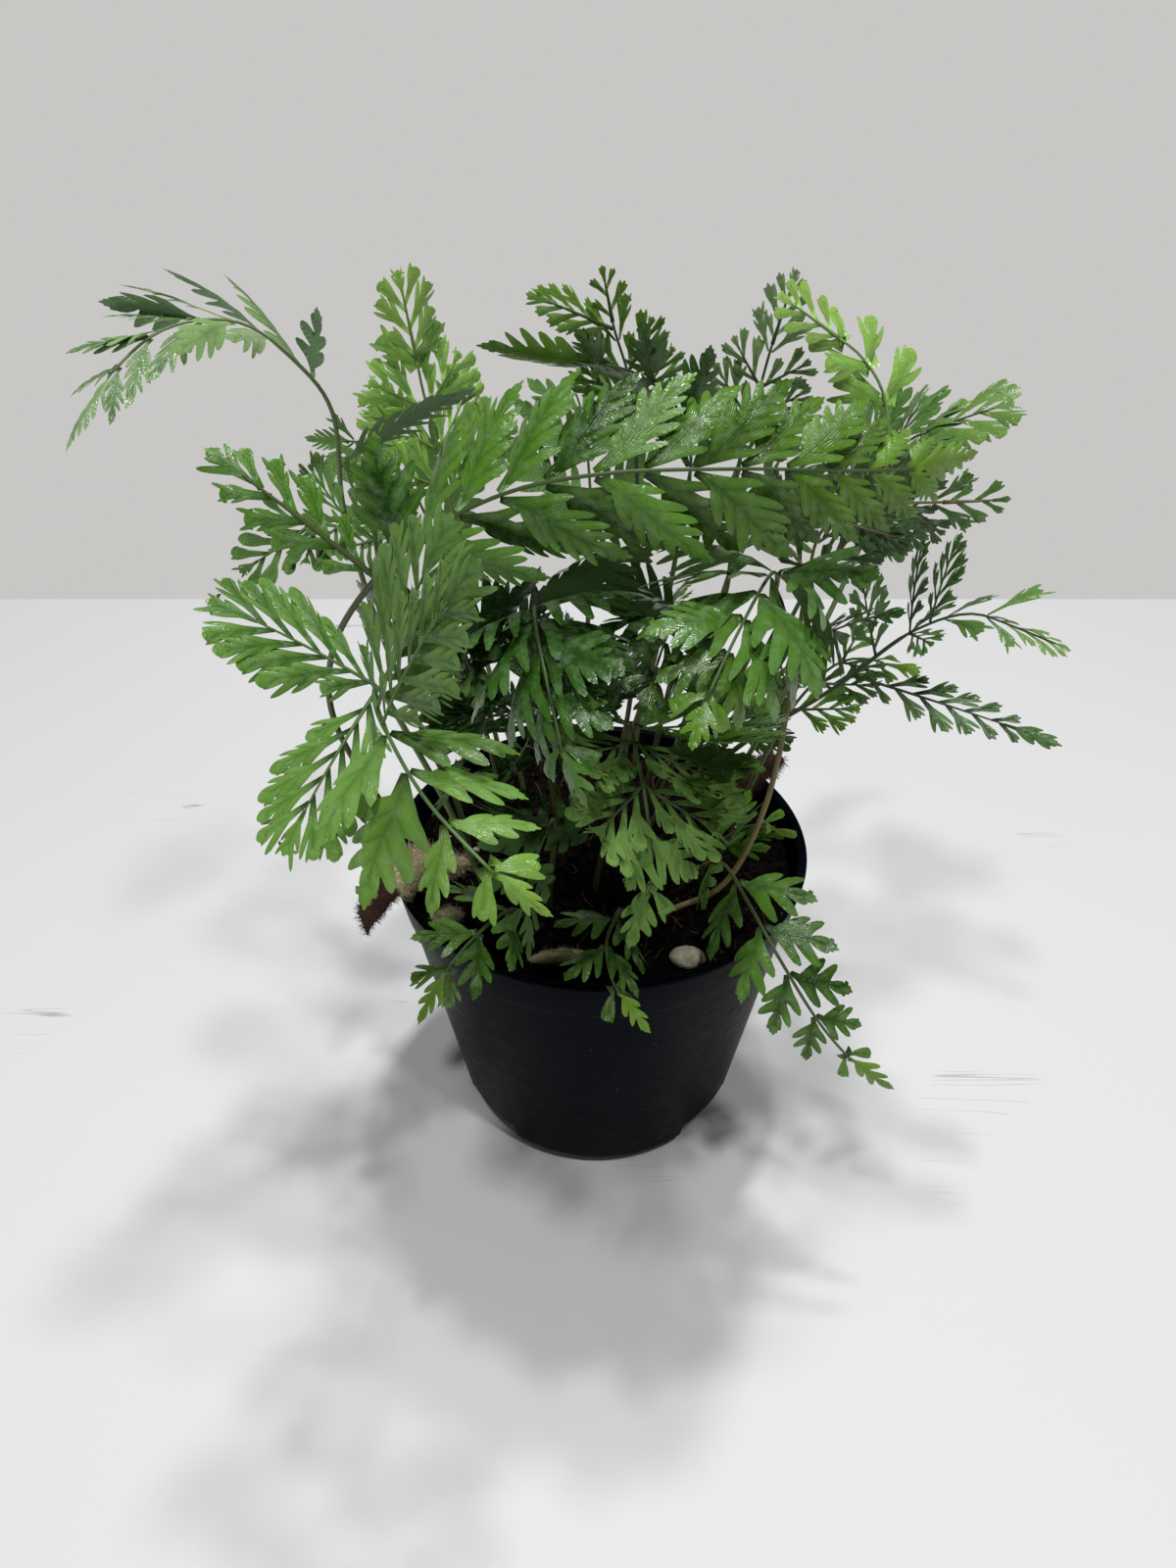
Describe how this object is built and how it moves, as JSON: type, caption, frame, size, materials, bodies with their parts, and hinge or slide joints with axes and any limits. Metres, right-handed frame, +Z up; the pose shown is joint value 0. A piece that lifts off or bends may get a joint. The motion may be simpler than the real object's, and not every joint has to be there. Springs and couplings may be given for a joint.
{
  "type": "potted fern",
  "caption": "Small fern with finely cut glossy fronds in a round black nursery pot with drain notches; furry creeping stems lie on the soil and over the rim.",
  "frame": {"origin": "middle of the pot's flat underside, on the pot's axis", "axes": "+Z up along the pot's axis, -Y towards the front, which the longest frond crosses from left to right"},
  "size_m": [0.1969, 0.1917, 0.2178],
  "materials": {
    "pot_plastic": "satin",
    "soil": "matte",
    "leaf_dark": "satin",
    "leaf_green": "satin",
    "leaf_grey": "satin",
    "leaf_young": "satin",
    "rhizome_fur": "matte",
    "rhizome_scales": "matte",
    "gravel": "matte"
  },
  "bodies": {
    "root": {"pot": "pot_plastic", "soil": "soil", "frond_right_sweep": "leaf_green", "frond_left_arch": "leaf_grey", "frond_near_left": "leaf_young", "frond_right_low": "leaf_grey", "frond_right_tall": "leaf_dark", "frond_top_right": "leaf_young", "frond_top_grey": "leaf_grey", "frond_right_back": "leaf_grey", "frond_top_centre": "leaf_dark", "frond_top_left": "leaf_green", "frond_inner_left": "leaf_young", "frond_left_mid": "leaf_green", "frond_centre_right": "leaf_green", "frond_centre_left": "leaf_dark", "frond_centre": "leaf_dark", "frond_centre_low": "leaf_dark", "frond_centre_dark": "leaf_dark", "frond_left_inner": "leaf_dark", "frond_low_left": "leaf_dark", "frond_front_right": "leaf_young", "frond_front": "leaf_young", "frond_front_left": "leaf_young", "frond_low_middle": "leaf_green", "frond_low_right": "leaf_dark", "frond_right_small": "leaf_young", "frond_right_fan": "leaf_young", "frond_right_inner": "leaf_young", "frond_back": "leaf_green", "frond_back_left": "leaf_green", "frond_back_right": "leaf_dark", "frond_back_low": "leaf_young", "rhizome_left": "rhizome_fur", "rhizome_left_tip": "rhizome_scales", "rhizome_bud": "rhizome_fur", "rhizome_front": "rhizome_fur", "rhizome_right": "rhizome_scales", "pebble": "gravel"}
  },
  "joints": []
}
